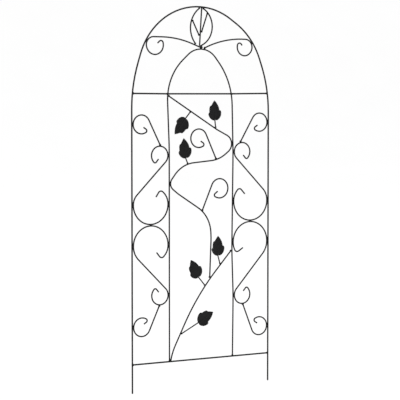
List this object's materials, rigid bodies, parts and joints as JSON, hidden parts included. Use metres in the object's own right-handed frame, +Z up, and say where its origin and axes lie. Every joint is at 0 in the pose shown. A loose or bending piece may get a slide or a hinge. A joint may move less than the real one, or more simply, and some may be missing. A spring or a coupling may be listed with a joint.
{
  "type": "metal trellis arch",
  "caption": "Flat garden trellis arch of black coated bent steel rod, with scrolls, a climbing vine and sheet leaves, on stake legs that push into soil.",
  "frame": {"origin": "on the ground line midway between the tips of the outer legs, at the bottom centre of the bounding box", "axes": "+Z up, +X to the right across the panel seen from the front, front face towards -Y"},
  "size_m": [0.5, 0.0104, 1.1999],
  "materials": {
    "rod_coat": "satin black powder coat on round steel rod",
    "leaf_coat": "satin black powder coat on steel sheet",
    "weld_coat": "satin black powder coat over weld beads"
  },
  "bodies": {
    "root": {"outer_arch": "rod_coat", "inner_arch": "rod_coat", "low_crossbar": "rod_coat", "high_crossbar_left": "rod_coat", "high_crossbar_middle": "rod_coat", "high_crossbar_right": "rod_coat", "left_upper_scroll": "rod_coat", "left_upper_cane": "rod_coat", "left_lower_scroll": "rod_coat", "left_lower_cane": "rod_coat", "right_upper_scroll": "rod_coat", "right_upper_cane": "rod_coat", "right_lower_scroll": "rod_coat", "right_lower_cane": "rod_coat", "left_crown_scroll": "rod_coat", "right_crown_scroll": "rod_coat", "finial_left_edge": "rod_coat", "finial_left_vein": "rod_coat", "finial_right_edge": "rod_coat", "finial_right_vein": "rod_coat", "finial_midrib": "rod_coat", "lower_vine_stem": "rod_coat", "winding_vine": "rod_coat", "high_tendril": "rod_coat", "low_tendril": "rod_coat", "leaf_stem_1": "rod_coat", "leaf_stem_2": "rod_coat", "leaf_stem_3": "rod_coat", "leaf_stem_4": "rod_coat", "leaf_stem_5": "rod_coat", "leaf_stem_6": "rod_coat", "leaf_1": "leaf_coat", "leaf_2": "leaf_coat", "leaf_3": "leaf_coat", "leaf_4": "leaf_coat", "leaf_5": "leaf_coat", "leaf_6": "leaf_coat", "frame_welds": "weld_coat", "scroll_welds": "weld_coat", "crown_welds": "weld_coat", "vine_welds": "weld_coat", "leaf_welds": "weld_coat"}
  },
  "joints": []
}
